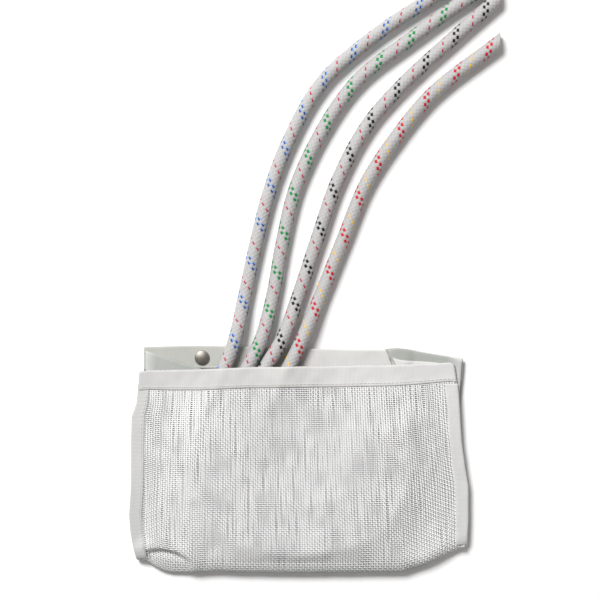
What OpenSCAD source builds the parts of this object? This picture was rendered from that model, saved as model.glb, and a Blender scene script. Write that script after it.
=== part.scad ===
// Rope storage bag for a boat's cockpit: a flat pocket of woven mesh on a coated back panel,
// open along the top, hung on two press snaps, with the tails of four 14 mm ropes stowed in it.
// The bag lies on its back: X across the bag, Y up towards its mouth, Z out of its front.
// Origin: middle of the bag on the surface that it lies on. Millimetres.

/* [Bag] */
// Width of the bag across its bottom fold
bag_width = 338; // [200:1:500]
// Height of the back panel, from the bottom fold to its top edge
bag_height = 226; // [140:1:340]
// How far the front's top edge lies below the back's
mouth_step = 23; // [4:1:60]
// How much narrower the bag is at the mouth than at the bottom, on each side
side_taper = 10; // [0:0.5:30]
// How much the back panel is narrower than the bottom fold, on each side
back_inset = 9; // [0:0.5:20]
// Room between the back panel and the front at the middle of the bag
bag_depth = 16.8; // [10:0.1:80]
// Room left between the back panel and the front along the sides
side_gap = 4.3; // [2.6:0.1:20]
// How far each side gusset folds in at the mouth
gusset_depth = 52; // [20:1:80]

/* [Fabric] */
// Thickness of the coated back panel
panel_t = 1; // [0.4:0.1:3]
// Thickness of the woven mesh of the front
mesh_t = 1.2; // [0.6:0.1:3]
// Thickness of a hem or of a side binding
hem_t = 1; // [0.4:0.1:3]
// Thickness of a gusset's fabric
gusset_t = 0.6; // [0.3:0.1:2]
// Height of the hem along the top of the front
front_hem = 20; // [8:0.5:40]
// Height of the hem along the top of the back
back_hem = 22; // [18:0.5:40]
// Width of the binding down each side of the front
band_width = 11; // [5:0.5:25]
// Width of the rolled seam under the bottom edge
seam_width = 12; // [6:0.5:25]

/* [Stitching] */
// Distance from one stitch to the next
stitch_pitch = 4; // [2:0.1:8]
// Length of one stitch
stitch_len = 2.8; // [1:0.1:6]
// Width of the sewing thread
thread_w = 0.7; // [0.3:0.05:1.5]
// How high a stitch stands on the fabric
thread_h = 0.35; // [0.1:0.05:0.8]

/* [Press snaps] */
// Diameter of a snap's cap
cap_d = 15; // [10:0.1:25]
// Height of a snap's cap on the fabric
cap_h = 2.2; // [1:0.1:5]
// Diameter of the hollow post that joins cap and socket
post_d = 4.8; // [3:0.1:8]
// Outer diameter of a snap's socket
socket_d = 13.6; // [10:0.1:24]
// Height of a snap's socket behind the panel
socket_h = 4.2; // [3:0.1:8]
// Diameter of the socket's mouth
mouth_d = 10.6; // [6:0.1:18]
// Diameter of the wire of the ring spring in the socket
spring_wire = 0.9; // [0.4:0.05:2]
// Distance from the middle of the bag to each snap
snap_x = 98; // [40:1:200]
// Distance from the back's top edge down to the snaps
snap_drop = 11; // [8:0.5:30]

/* [Rope] */
// Diameter of the ropes
rope_d = 14; // [6:0.5:18]
// Length of the whipping on a rope's inner end
whip_len = 18; // [8:1:40]
// Thickness of the whipping's twine
whip_t = 0.7; // [0.3:0.1:2]
// Thickness of the melted skin on a rope's cut end
seal_t = 1; // [0.5:0.1:3]

/* [Hidden] */

$fn = 64;
gap = 0.05;

half_w = bag_width / 2;
y_top = bag_height / 2;
y_bottom = -bag_height / 2;
y_mouth = y_top - mouth_step;
back_half = half_w - back_inset;
z_panel = socket_h;
z_floor = z_panel + panel_t;
z_hem = z_floor + hem_t;
z_edge = z_floor + side_gap;
rise = bag_depth - side_gap;
y_hem = y_mouth - front_hem;
snap_y = y_top - snap_drop;

// Half the front's width at height y: straight sides that spread below the hem.
function front_half(y) = y >= y_hem ? half_w - side_taper
    : half_w - side_taper * (y - y_bottom) / (y_hem - y_bottom);

// Rows of the front, from the mouth to the bottom fold: y, share of the rise, and drop of the edge.
front_rows = [[y_mouth, 1, 0], [y_hem, 1, 0], [bag_height * 0.13, 1, 0], [-bag_height * 0.13, 1, 0],
              [-bag_height * 0.31, 1, 0], [y_bottom + 26, 0.97, 0], [y_bottom + 16, 0.86, 0.1],
              [y_bottom + 8, 0.62, 0.5], [y_bottom + 3, 0.36, 1.3], [y_bottom, 0, 2.6]];

// Columns of the front as shares of its half width, the outermost pair under the side bindings.
band_share = 1 - band_width / half_w;
columns = [-1, -band_share, -0.86, -0.77, -0.66, -0.5, -0.25, 0,
           0.25, 0.5, 0.66, 0.77, 0.86, band_share, 1];

function bulge(s) = 1 - pow(abs(s), 6);
function front_z(s, row) = z_edge - row[2] + rise * row[1] * bulge(s);
function front_point(s, row, lift) = [s * front_half(row[0]), row[0], front_z(s, row) + lift];
function layer(rows, cols, lift) = [for (r = rows) [for (s = cols) front_point(s, r, lift)]];

// A closed sheet between an upper and a lower grid of points with the same rows and columns.
module sheet(upper, lower) {
    rows = len(upper);
    cols = len(upper[0]);
    n = rows * cols;
    points = [for (r = upper) for (p = r) p, for (r = lower) for (p = r) p];
    tops = [for (i = [0 : rows - 2]) for (j = [0 : cols - 2])
        each let (a = i * cols + j, b = a + 1, c = a + cols, d = c + 1) [[a, b, c], [b, d, c]]];
    ring = [for (j = [0 : cols - 2]) [j, j + 1],
            for (i = [0 : rows - 2]) [(i + 1) * cols - 1, (i + 2) * cols - 1],
            for (j = [cols - 1 : -1 : 1]) [(rows - 1) * cols + j, (rows - 1) * cols + j - 1],
            for (i = [rows - 1 : -1 : 1]) [i * cols, (i - 1) * cols]];
    walls = [for (e = ring) each [[e[1], e[0], e[0] + n], [e[1], e[0] + n, e[1] + n]]];
    unders = [for (f = tops) [f[2] + n, f[1] + n, f[0] + n]];
    polyhedron(points, concat(tops, unders, walls), convexity = 6);
}

// One patch of a layer that lies on the front, between two lifts above its underside.
module front_patch(rows, cols, low, high) {
    sheet(layer(rows, cols, high), layer(rows, cols, low));
}

module back_plate(y_low, y_high, z_low, t) {
    difference() {
        translate([-back_half, y_low, z_low]) cube([2 * back_half, y_high - y_low, t]);
        for (side = [-1, 1])
            translate([side * snap_x, snap_y, z_low - 1]) cylinder(d = post_d + 0.2, h = t + 2);
    }
}

module back_panel() {
    color([0.74, 0.75, 0.72]) back_plate(y_bottom + 1, y_top, z_panel, panel_t);
}

module back_top_hem() {
    color([0.80, 0.80, 0.78]) back_plate(y_top - back_hem, y_top, z_floor, hem_t);
}

// The rolled seam: all layers of the bottom edge folded together and sewn.
module bottom_seam() {
    color([0.78, 0.78, 0.76])
        translate([-back_half + 2, y_bottom + 1, 0])
            rotate([90, 0, 90])
                linear_extrude(height = 2 * back_half - 4)
                    polygon([[1.2, 0], [seam_width - 1.2, 0], [seam_width, 1.2],
                             [seam_width, z_panel], [0, z_panel], [0, 1.2]]);
}

// A gusset lies folded inwards as a V. Its top edge runs from the back's corner, down to the fold at the
// mouth, and out again to the mouth's corner. It lies over the back's hem and the stitches there.
module gusset() {
    out_back = back_half - 1;
    low = y_bottom + 22;
    over = z_hem + thread_h + 0.15;
    flat = z_floor + 0.1;
    top = z_edge - 0.4;
    // Rows: y at the back's edge, at the fold and at the front's edge, share of the depth, height at the back.
    rows = [[y_top - 4, y_mouth + 2, y_mouth - 2, 1, over],
            [y_top - back_hem - 2, y_mouth - 6, y_mouth - 6, 0.95, over],
            [y_top - back_hem - 30, y_mouth - 30, y_mouth - 30, 0.8, flat],
            [low, low, low, 0.22, flat]];
    outside = [for (r = rows) let (fold = front_half(r[1]) - gusset_depth * r[3])
        [[-out_back, r[0], r[4]], [-fold, r[1], (r[4] + top) / 2], [-out_back, r[2], top]]];
    inside = [for (r = rows) let (fold = front_half(r[1]) - gusset_depth * r[3] + 2)
        [[-out_back, r[0], r[4] + gusset_t], [-fold, r[1], (r[4] + top) / 2],
         [-out_back, r[2], top - gusset_t]]];
    sheet(inside, outside);
}

module gusset_left() {
    color([0.72, 0.74, 0.70]) gusset();
}

module gusset_right() {
    color([0.72, 0.74, 0.70]) mirror([1, 0, 0]) gusset();
}

module front_panel() {
    color([0.82, 0.82, 0.82]) front_patch(front_rows, columns, 0, mesh_t);
}

module front_top_hem() {
    rows = [front_rows[0], front_rows[1]];
    color([0.86, 0.86, 0.85]) front_patch(rows, columns, mesh_t + gap, mesh_t + gap + hem_t);
}

module side_band(cols) {
    rows = [for (i = [1 : len(front_rows) - 1]) front_rows[i]];
    front_patch(rows, cols, mesh_t + gap, mesh_t + gap + hem_t);
}

module side_band_left() {
    color([0.84, 0.84, 0.83]) side_band([-1, -band_share]);
}

module side_band_right() {
    color([0.84, 0.84, 0.83]) side_band([band_share, 1]);
}

module stitch(length) {
    translate([-length / 2, -thread_w / 2, 0]) cube([length, thread_w, thread_h]);
}

// Height of the hem's upper face at x: straight between the front's columns, as the sheet is.
bulges = [for (s = columns) [s, bulge(s)]];
function hem_z(x) = z_edge + rise * lookup(x / front_half(y_mouth), bulges) + mesh_t + gap + hem_t;

module front_hem_stitch() {
    last = floor((front_half(y_mouth) - 5) / stitch_pitch);
    color([0.93, 0.93, 0.92])
        for (i = [-last : last]) {
            x = i * stitch_pitch;
            slope = atan((hem_z(x + 1.2) - hem_z(x - 1.2)) / 2.4);
            translate([x, y_hem + 3, hem_z(x) + 0.15]) rotate([0, -slope, 0]) stitch(stitch_len * 0.8);
        }
}

module back_hem_stitch() {
    last = floor((back_half - 5) / stitch_pitch);
    color([0.93, 0.93, 0.92])
        for (i = [-last : last])
            translate([i * stitch_pitch, y_top - back_hem + 2.5, z_hem]) stitch(stitch_len);
}

module bottom_stitch() {
    last = floor((back_half - 5) / stitch_pitch);
    color([0.93, 0.93, 0.92])
        for (i = [-last : last])
            translate([i * stitch_pitch, y_bottom + seam_width + 3, z_panel - thread_h])
                stitch(stitch_len);
}

// A row of stitches down the middle of a side band, where the band is straight.
module band_stitch(side) {
    share = (1 + band_share) / 2;
    y_low = y_bottom + 27;
    lean = atan(side_taper * share / (y_hem - y_bottom));
    band_z = z_edge + rise * bulge(band_share) / 2 + mesh_t + gap + hem_t;
    tilt = atan(rise * bulge(band_share) / band_width);
    for (y = [y_low : stitch_pitch : y_hem - 3])
        translate([side * share * front_half(y), y, band_z + 0.25])
            rotate([0, side * tilt, 0])
                rotate([0, 0, 90 + side * lean])
                    stitch(stitch_len);
}

module band_stitch_left() {
    color([0.93, 0.93, 0.92]) band_stitch(-1);
}

module band_stitch_right() {
    color([0.93, 0.93, 0.92]) band_stitch(1);
}

// Stitches that hold a gusset to the back panel, seen on the back of the bag.
module gusset_stitch(side) {
    color([0.93, 0.93, 0.92])
        for (y = [y_bottom + 22 : stitch_pitch : y_top - 6])
            translate([side * (back_half - 4), y, z_panel - thread_h]) rotate([0, 0, 90])
                stitch(stitch_len);
}

module gusset_stitch_left() {
    gusset_stitch(-1);
}

module gusset_stitch_right() {
    gusset_stitch(1);
}

// The cap: a domed disc with a hollow post that passes through hem and panel and is spread inside the socket.
module snap_cap(side) {
    dome_r = (pow(cap_d / 2 - 0.3, 2) + pow(cap_h - 0.8, 2)) / (2 * (cap_h - 0.8));
    color([0.62, 0.60, 0.56])
        translate([side * snap_x, snap_y, 0]) {
            translate([0, 0, z_hem]) cylinder(d = cap_d, h = 0.8);
            intersection() {
                translate([0, 0, z_hem + cap_h - dome_r]) sphere(r = dome_r);
                translate([0, 0, z_hem + 0.8]) cylinder(d = cap_d - 0.6, h = cap_h);
            }
            difference() {
                union() {
                    translate([0, 0, z_panel - 1.8]) cylinder(d = post_d, h = z_hem - z_panel + 1.9);
                    translate([0, 0, z_panel - 1.9]) cylinder(d = post_d + 1.6, h = 0.6);
                }
                translate([0, 0, z_panel - 2]) cylinder(d = post_d - 1.4, h = z_hem - z_panel + 1.5);
            }
        }
}

// The socket: a cup behind the panel whose lip holds the ring spring.
module snap_socket(side) {
    color([0.66, 0.64, 0.60])
        translate([side * snap_x, snap_y, 0])
            difference() {
                union() {
                    cylinder(d = socket_d, h = z_panel - 0.8);
                    translate([0, 0, z_panel - 0.8]) cylinder(d = socket_d + 1, h = 0.8);
                }
                translate([0, 0, -1]) cylinder(d = mouth_d, h = 3);
                translate([0, 0, 1.4]) cylinder(d = mouth_d + 1.5, h = z_panel - 1.2 - 1.4);
                translate([0, 0, z_panel - 3]) cylinder(d = post_d + 0.2, h = 4);
            }
}

// The ring spring: it grips the head of the stud that the bag hangs on.
module snap_spring(side) {
    color([0.72, 0.70, 0.66])
        translate([side * snap_x, snap_y, 1.4 + gap + spring_wire / 2])
            rotate_extrude()
                translate([mouth_d / 2 + 0.7 - spring_wire / 2 - gap, 0]) circle(d = spring_wire);
}

module snap_cap_left() {
    snap_cap(-1);
}

module snap_cap_right() {
    snap_cap(1);
}

module snap_socket_left() {
    snap_socket(-1);
}

module snap_socket_right() {
    snap_socket(1);
}

module snap_spring_left() {
    snap_spring(-1);
}

module snap_spring_right() {
    snap_spring(1);
}

// Routes of the ropes, from the inner end to the outer end: x, y and the height of the rope's underside.
// Inside the bag the four lie side by side round the bottom; outside they rise in one sheaf to the right.
blue_route = [[105, 30, 6.2], [106, -12, 5.6], [96, -50, 5.6], [68, -78, 5.6], [30, -88, 5.6],
              [-32, -88, 5.6], [-70, -78, 5.6], [-98, -50, 5.6], [-108, -12, 5.6], [-97, 42, 5.6],
              [-74, 95, 6.8], [-65, 120, 5.8], [-56, 160, 0.6], [-43, 220, 0.1], [-30, 270, 0.1],
              [-11, 320, 0.1], [24, 380, 0.1], [69, 420, 0.1], [128, 460, 0.1], [186, 496, 0.1]];
green_route = [[89, 30, 6.2], [90, -12, 5.6], [82, -42, 5.6], [60, -64, 5.6], [30, -72, 5.6],
               [-32, -72, 5.6], [-62, -64, 5.6], [-84, -42, 5.6], [-92, -12, 5.6], [-79, 40, 5.6],
               [-51, 95, 6.8], [-39, 120, 5.8], [-28, 160, 0.6], [-17, 220, 0.1], [-5, 270, 0.1],
               [17, 320, 0.1], [58, 380, 0.1], [109, 420, 0.1], [165, 460, 0.1], [192, 477, 0.1]];
black_route = [[73, 30, 6.2], [74, -12, 5.6], [68, -34, 5.6], [52, -50, 5.6], [30, -56, 5.6],
               [-32, -56, 5.6], [-54, -50, 5.6], [-70, -34, 5.6], [-76, -12, 5.6], [-62, 37, 5.6],
               [-33, 95, 6.8], [-18, 120, 5.8], [-3, 160, 0.6], [17, 220, 0.1], [38, 280, 0.1],
               [71, 340, 0.1], [107, 380, 0.1], [151, 420, 0.1], [201, 464, 0.1]];
red_route = [[57, 30, 6.2], [58, -12, 5.6], [54, -26, 5.6], [44, -36, 5.6], [30, -40, 5.6],
             [-32, -40, 5.6], [-46, -36, 5.6], [-56, -26, 5.6], [-60, -12, 5.6], [-44, 34, 5.6],
             [-10, 95, 6.8], [2, 120, 5.8], [19, 160, 0.6], [43, 220, 0.1], [68, 280, 0.1],
             [94, 320, 0.1], [126, 360, 0.1], [200, 419, 0.1]];

x_scale = bag_width / 338;
y_scale = bag_height / 226;
function on_bag(route) = [for (p = route) [p[0] * x_scale, p[1] * y_scale, p[2] + rope_d / 2]];
function unit(v) = v / norm(v);
function heading(path, i) = let (n = len(path) - 1)
    unit(path[min(i + 1, n)] - path[max(i - 1, 0)]);

// A rope as one tube: a ring of points square to the route at each of its points, closed by two end faces.
rope_sides = 10;
module rope(route) {
    path = on_bag(route);
    n = len(path);
    rings = [for (i = [0 : n - 1]) let (t = heading(path, i), u = unit(cross(t, [0, 0, 1])), v = cross(u, t))
        for (k = [0 : rope_sides - 1]) let (a = (k + 0.5) * 360 / rope_sides)
            path[i] + (u * cos(a) + v * sin(a)) * rope_d / 2];
    skin = [for (i = [0 : n - 2]) for (k = [0 : rope_sides - 1])
        let (a = i * rope_sides + k, b = i * rope_sides + (k + 1) % rope_sides)
            each [[a, b, a + rope_sides], [b, b + rope_sides, a + rope_sides]]];
    first = [for (k = [rope_sides - 1 : -1 : 0]) k];
    last = [for (k = [0 : rope_sides - 1]) (n - 1) * rope_sides + k];
    polyhedron(rings, concat(skin, [first], [last]), convexity = 8);
}

// Places its child with +Z along a route's end, pointing out of the rope.
module at_end(route, inner) {
    path = on_bag(route);
    tip = inner ? path[0] : path[len(path) - 1];
    before = inner ? path[1] : path[len(path) - 2];
    way = unit(tip - before);
    translate(tip) rotate([0, acos(way[2]), atan2(way[1], way[0])]) children();
}

module whipping(route) {
    color([0.90, 0.88, 0.82])
        at_end(route, true)
            translate([0, 0, -whip_len - 4])
                difference() {
                    cylinder(d = rope_d + 2 * whip_t, h = whip_len);
                    translate([0, 0, -1]) cylinder(d = rope_d + 0.1, h = whip_len + 2);
                }
}

module sealed_end(route, inner) {
    color([0.86, 0.84, 0.80])
        at_end(route, inner)
            cylinder(d1 = rope_d - 0.8, d2 = rope_d - 2.4, h = seal_t);
}

module rope_blue() {
    color([0.55, 0.62, 0.78]) rope(blue_route);
}

module rope_green() {
    color([0.55, 0.74, 0.58]) rope(green_route);
}

module rope_black() {
    color([0.45, 0.45, 0.45]) rope(black_route);
}

module rope_red() {
    color([0.80, 0.50, 0.50]) rope(red_route);
}

module whipping_blue() {
    whipping(blue_route);
}

module whipping_green() {
    whipping(green_route);
}

module whipping_black() {
    whipping(black_route);
}

module whipping_red() {
    whipping(red_route);
}

module inner_end_blue() {
    sealed_end(blue_route, true);
}

module inner_end_green() {
    sealed_end(green_route, true);
}

module inner_end_black() {
    sealed_end(black_route, true);
}

module inner_end_red() {
    sealed_end(red_route, true);
}

module outer_end_blue() {
    sealed_end(blue_route, false);
}

module outer_end_green() {
    sealed_end(green_route, false);
}

module outer_end_black() {
    sealed_end(black_route, false);
}

module outer_end_red() {
    sealed_end(red_route, false);
}

back_panel();
back_top_hem();
bottom_seam();
gusset_left();
gusset_right();
front_panel();
front_top_hem();
side_band_left();
side_band_right();
front_hem_stitch();
back_hem_stitch();
bottom_stitch();
band_stitch_left();
band_stitch_right();
gusset_stitch_left();
gusset_stitch_right();
snap_cap_left();
snap_cap_right();
snap_socket_left();
snap_socket_right();
snap_spring_left();
snap_spring_right();
rope_blue();
rope_green();
rope_black();
rope_red();
whipping_blue();
whipping_green();
whipping_black();
whipping_red();
inner_end_blue();
inner_end_green();
inner_end_black();
inner_end_red();
outer_end_blue();
outer_end_green();
outer_end_black();
outer_end_red();
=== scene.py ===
# %% [markdown]
# # A rope storage bag for a boat's cockpit
# The bag is a flat pocket. Its back is coated fabric, its front is an open woven mesh that lets wet
# rope drain, and two press snaps near the top hold it on a bulkhead. The tails of four braided ropes are
# stowed in it and run out of its mouth.
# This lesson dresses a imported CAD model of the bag: soft pieces are replaced with modelled cloth,
# yarn and rope, and the metal snaps keep their CAD shape and get a finish.
# %% Load the frame
import math

import bmesh
import bpy
import numpy as np
from mathutils import Matrix, Vector


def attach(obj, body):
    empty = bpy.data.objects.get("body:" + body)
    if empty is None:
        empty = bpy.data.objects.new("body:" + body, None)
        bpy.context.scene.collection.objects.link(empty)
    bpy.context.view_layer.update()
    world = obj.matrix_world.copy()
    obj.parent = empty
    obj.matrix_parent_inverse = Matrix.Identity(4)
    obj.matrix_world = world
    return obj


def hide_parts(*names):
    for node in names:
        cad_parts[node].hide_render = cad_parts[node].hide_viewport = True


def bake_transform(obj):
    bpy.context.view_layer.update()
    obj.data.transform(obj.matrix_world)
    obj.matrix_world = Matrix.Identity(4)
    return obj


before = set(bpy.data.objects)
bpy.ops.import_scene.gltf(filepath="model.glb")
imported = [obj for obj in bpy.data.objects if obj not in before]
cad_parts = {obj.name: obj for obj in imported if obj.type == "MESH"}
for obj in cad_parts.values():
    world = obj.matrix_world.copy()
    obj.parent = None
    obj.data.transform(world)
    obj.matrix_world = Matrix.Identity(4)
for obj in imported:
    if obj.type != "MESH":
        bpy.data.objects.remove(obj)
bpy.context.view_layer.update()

MM = 0.001

# %% [markdown]
# ## Camera
# The bag lies on its back and is looked at from straight above. A long lens keeps the sides of the bag
# from leaning outwards. At 2 m a 120 mm lens on a 36 mm sensor covers 0.6 m.
# %% Make the camera
eye = bpy.data.objects.new("camera", bpy.data.cameras.new("camera"))
eye.data.lens, eye.data.sensor_width = 120, 36
eye.location = (0, 0.160, 2.010)
bpy.context.scene.collection.objects.link(eye)
bpy.context.scene.camera = eye
print("the camera covers", round(eye.location.z * eye.data.sensor_width / eye.data.lens, 2), "m of floor")

# %% [markdown]
# ## The routes of the ropes
# A rope is a fixed length of something limp, so its route comes before its looks. Each route starts at
# the inner end, runs side by side with the others round the bottom of the bag, comes up through the mouth
# and lies on the surface outside. The points are millimetres: x, y and the height of the rope's underside.
# A smooth curve through them could be a Bezier object. Here it is worked out in numbers, because the
# braid's pattern needs the distance along the rope at every ring.
# %% Lay out the ropes
ROPE = 14.0
routes = {
    "blue": [[105, 30, 6.2], [106, -12, 5.6], [96, -50, 5.6], [68, -78, 5.6], [30, -88, 5.6],
             [-32, -88, 5.6], [-70, -78, 5.6], [-98, -50, 5.6], [-108, -12, 5.6], [-97, 42, 5.6],
             [-74, 95, 6.8], [-65, 120, 5.8], [-56, 160, 0.6], [-43, 220, 0.1], [-30, 270, 0.1],
             [-11, 320, 0.1], [24, 380, 0.1], [69, 420, 0.1], [128, 460, 0.1], [186, 496, 0.1]],
    "green": [[89, 30, 6.2], [90, -12, 5.6], [82, -42, 5.6], [60, -64, 5.6], [30, -72, 5.6],
              [-32, -72, 5.6], [-62, -64, 5.6], [-84, -42, 5.6], [-92, -12, 5.6], [-79, 40, 5.6],
              [-51, 95, 6.8], [-39, 120, 5.8], [-28, 160, 0.6], [-17, 220, 0.1], [-5, 270, 0.1],
              [17, 320, 0.1], [58, 380, 0.1], [109, 420, 0.1], [165, 460, 0.1], [192, 477, 0.1]],
    "black": [[73, 30, 6.2], [74, -12, 5.6], [68, -34, 5.6], [52, -50, 5.6], [30, -56, 5.6],
              [-32, -56, 5.6], [-54, -50, 5.6], [-70, -34, 5.6], [-76, -12, 5.6], [-62, 37, 5.6],
              [-33, 95, 6.8], [-18, 120, 5.8], [-3, 160, 0.6], [17, 220, 0.1], [38, 280, 0.1],
              [71, 340, 0.1], [107, 380, 0.1], [151, 420, 0.1], [201, 464, 0.1]],
    "red": [[57, 30, 6.2], [58, -12, 5.6], [54, -26, 5.6], [44, -36, 5.6], [30, -40, 5.6],
            [-32, -40, 5.6], [-46, -36, 5.6], [-56, -26, 5.6], [-60, -12, 5.6], [-44, 34, 5.6],
            [-10, 95, 6.8], [2, 120, 5.8], [19, 160, 0.6], [43, 220, 0.1], [68, 280, 0.1],
            [94, 320, 0.1], [126, 360, 0.1], [200, 419, 0.1]],
}


def smooth_route(points, step):
    """Evenly spaced points, and the distance along them, on a smooth curve through a route's points."""
    p = np.array(points, float) + [0, 0, ROPE / 2]
    t = np.concatenate([[0], np.cumsum(np.linalg.norm(np.diff(p, axis=0), axis=1))])
    slope = np.gradient(p, t, axis=0)
    dense = np.linspace(0, t[-1], 4000)
    k = np.clip(np.searchsorted(t, dense, side="right") - 1, 0, len(t) - 2)
    h = (t[k + 1] - t[k])[:, None]
    w = ((dense - t[k]) / (t[k + 1] - t[k]))[:, None]
    curve = ((2 * w**3 - 3 * w**2 + 1) * p[k] + (w**3 - 2 * w**2 + w) * h * slope[k]
             + (3 * w**2 - 2 * w**3) * p[k + 1] + (w**3 - w**2) * h * slope[k + 1])
    curve[:, 2] = np.maximum(curve[:, 2], ROPE / 2 + 0.15)
    along = np.concatenate([[0], np.cumsum(np.linalg.norm(np.diff(curve, axis=0), axis=1))])
    at = np.linspace(0, along[-1], int(along[-1] / step) + 1)
    return np.stack([np.interp(at, along, curve[:, k]) for k in range(3)], axis=1), at


lines = {name: smooth_route(points, 1.25) for name, points in routes.items()}
for name, (line, along) in lines.items():
    print("rope", name, "is", round(along[-1]), "mm long")

# %% [markdown]
# ## One helper for everything that is bent from a flat grid
# Cloth, binding, tape and the skin of a rope are all a grid of quads that is laid somewhere. bmesh's
# create_grid makes the quads and their UV map, and a function then says where each point of the grid goes.
# Rolling a grid into a tube leaves a seam, which remove_doubles closes.
# %% Define the grid helper
def as_object(name, mesh, finish):
    """Links a mesh as an object of its own, shaded smooth, and gives it a finish."""
    made = bpy.data.objects.new(name, mesh)
    bpy.context.scene.collection.objects.link(made)
    mesh.materials.append(finish)
    mesh.polygons.foreach_set("use_smooth", [True] * len(mesh.polygons))
    return made


def grid_mesh(name, columns, rows):
    """A flat grid of quads with a UV map, and the two grid coordinates of each of its points, from 0 to 1."""
    bm = bmesh.new()
    bm.loops.layers.uv.new("UVMap")
    bmesh.ops.create_grid(bm, x_segments=columns, y_segments=rows, size=1.0, calc_uvs=True)
    mesh = bpy.data.meshes.new(name)
    bm.to_mesh(mesh)
    bm.free()
    flat = np.empty(len(mesh.vertices) * 3)
    mesh.vertices.foreach_get("co", flat)
    flat = flat.reshape(-1, 3)
    return mesh, (flat[:, 0] + 1) / 2, (flat[:, 1] + 1) / 2


def laid(name, columns, rows, place, finish, weld=False, thickness=0):
    """A grid laid where place(a, b) says, in millimetres, welded along its seam or given a thickness."""
    mesh, a, b = grid_mesh(name, columns, rows)
    mesh.vertices.foreach_set("co", (np.asarray(place(a, b)) * MM).ravel())
    if weld:
        close(mesh)
    made = as_object(name, mesh, finish)
    if thickness:
        wall = made.modifiers.new("wall", "SOLIDIFY")
        wall.thickness, wall.offset = thickness * MM, -1
    return made


def close(mesh):
    """Joins the points that lie on each other and fills the open ends of a tube."""
    bm = bmesh.new()
    bm.from_mesh(mesh)
    bmesh.ops.remove_doubles(bm, verts=bm.verts, dist=1e-6)
    bmesh.ops.holes_fill(bm, edges=[e for e in bm.edges if e.is_boundary], sides=0)
    bm.to_mesh(mesh)
    bm.free()


# %% [markdown]
# ## Shader maths in plain Python
# A finish is a Principled shader with a few patterns in front of it. Wiring Math nodes by hand is slow
# to write and hard to read, so one small class wraps a socket and lets +, -, *, % and the comparisons add
# the nodes.
# %% Define a number on a surface
class Strand:
    """A number that varies over the surface, as the output of a shader node."""

    def __init__(self, finish, socket):
        self.finish, self.socket = finish, socket

    def maths(self, operation, a, b=0.0):
        return self.finish.node("ShaderNodeMath", {"operation": operation}, {0: a, 1: b})

    def __add__(self, other):
        return self.maths("ADD", self, other)

    def __radd__(self, other):
        return self.maths("ADD", other, self)

    def __sub__(self, other):
        return self.maths("SUBTRACT", self, other)

    def __rsub__(self, other):
        return self.maths("SUBTRACT", other, self)

    def __mul__(self, other):
        return self.maths("MULTIPLY", self, other)

    def __rmul__(self, other):
        return self.maths("MULTIPLY", other, self)

    def __mod__(self, other):
        return self.maths("FLOORED_MODULO", self, other)

    def __lt__(self, other):
        return self.maths("LESS_THAN", self, other)

    def __gt__(self, other):
        return self.maths("GREATER_THAN", self, other)

    def __abs__(self):
        return self.maths("ABSOLUTE", self)

    def floor(self):
        return self.maths("FLOOR", self)

    def sine(self):
        return self.maths("SINE", self)

    def at_most(self, other):
        return self.maths("MINIMUM", self, other)

    def at_least(self, other):
        return self.maths("MAXIMUM", self, other)


# %% [markdown]
# ## A finish and its nodes
# A finish holds one Principled shader. A value that is the same all over goes straight on its socket, and
# only what varies gets nodes. One method makes any node from its type, its settings and what goes into its
# sockets. The clouds, blends and bumps that most pieces need are short methods on top of it.
# %% Define a finish
class Finish:
    """A material: a Principled shader, and one method that makes every other node."""

    def __init__(self, name, **fixed):
        self.material = bpy.data.materials.new(name)
        self.material.use_nodes = True
        self.tree = self.material.node_tree
        self.shader = self.tree.nodes["Principled BSDF"]
        for socket, value in fixed.items():
            self.shader.inputs[socket.replace("_", " ")].default_value = value

    def node(self, kind, settings=None, inputs=None, out=0):
        made = self.tree.nodes.new(kind)
        stops = (settings or {}).pop("stops", None)
        for key, value in (settings or {}).items():
            setattr(made, key, value)
        if stops:
            while len(made.color_ramp.elements) < len(stops):
                made.color_ramp.elements.new(0.5)
            for element, (where, colour) in zip(made.color_ramp.elements, stops):
                element.position, element.color = where, (*colour, 1)
        for key, value in (inputs or {}).items():
            self.feed(made.inputs[key], value)
        return Strand(self, made.outputs[out])

    def feed(self, socket, value):
        if isinstance(value, Strand):
            self.tree.links.new(value.socket, socket)
        else:
            socket.default_value = (*value, 1) if hasattr(value, "__len__") and len(value) == 3 \
                and socket.type == "RGBA" else value

    def set(self, **varying):
        for socket, value in varying.items():
            self.feed(self.shader.inputs[socket.replace("_", " ")], value)
        return self

    def place(self):
        """Where a point of the surface is, in metres."""
        return self.node("ShaderNodeTexCoord", out="Object")

    def noise(self, size_mm, detail=2.0, stretch=(1, 1, 1)):
        """Cloudy variation about 0.5, with clouds of that size."""
        spread = self.node("ShaderNodeMapping", inputs={"Vector": self.place(), "Scale": stretch})
        return self.node("ShaderNodeTexNoise", inputs={"Vector": spread, "Scale": 1000 / size_mm,
                                                       "Detail": detail}, out=0)

    def blend(self, factor, first, second):
        """One colour where the factor is 0 and the other where it is 1."""
        return self.node("ShaderNodeMix", {"data_type": "RGBA"}, {0: factor, 6: first, 7: second}, out=2)

    def bump(self, height, distance_mm, strength=1.0):
        self.set(Normal=self.node("ShaderNodeBump", inputs={"Height": height, "Strength": strength,
                                                            "Distance": distance_mm * MM}))
        return self

    def part(self, vector, which):
        """One of a vector's three numbers: 0, 1 or 2."""
        return self.node("ShaderNodeSeparateXYZ", inputs={0: vector}, out=which)

    def uv(self):
        """The surface's own two coordinates, which follow it however it is bent."""
        flat = self.node("ShaderNodeTexCoord", out="UV")
        return self.part(flat, 0), self.part(flat, 1)


TURN = 2 * math.pi


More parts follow.
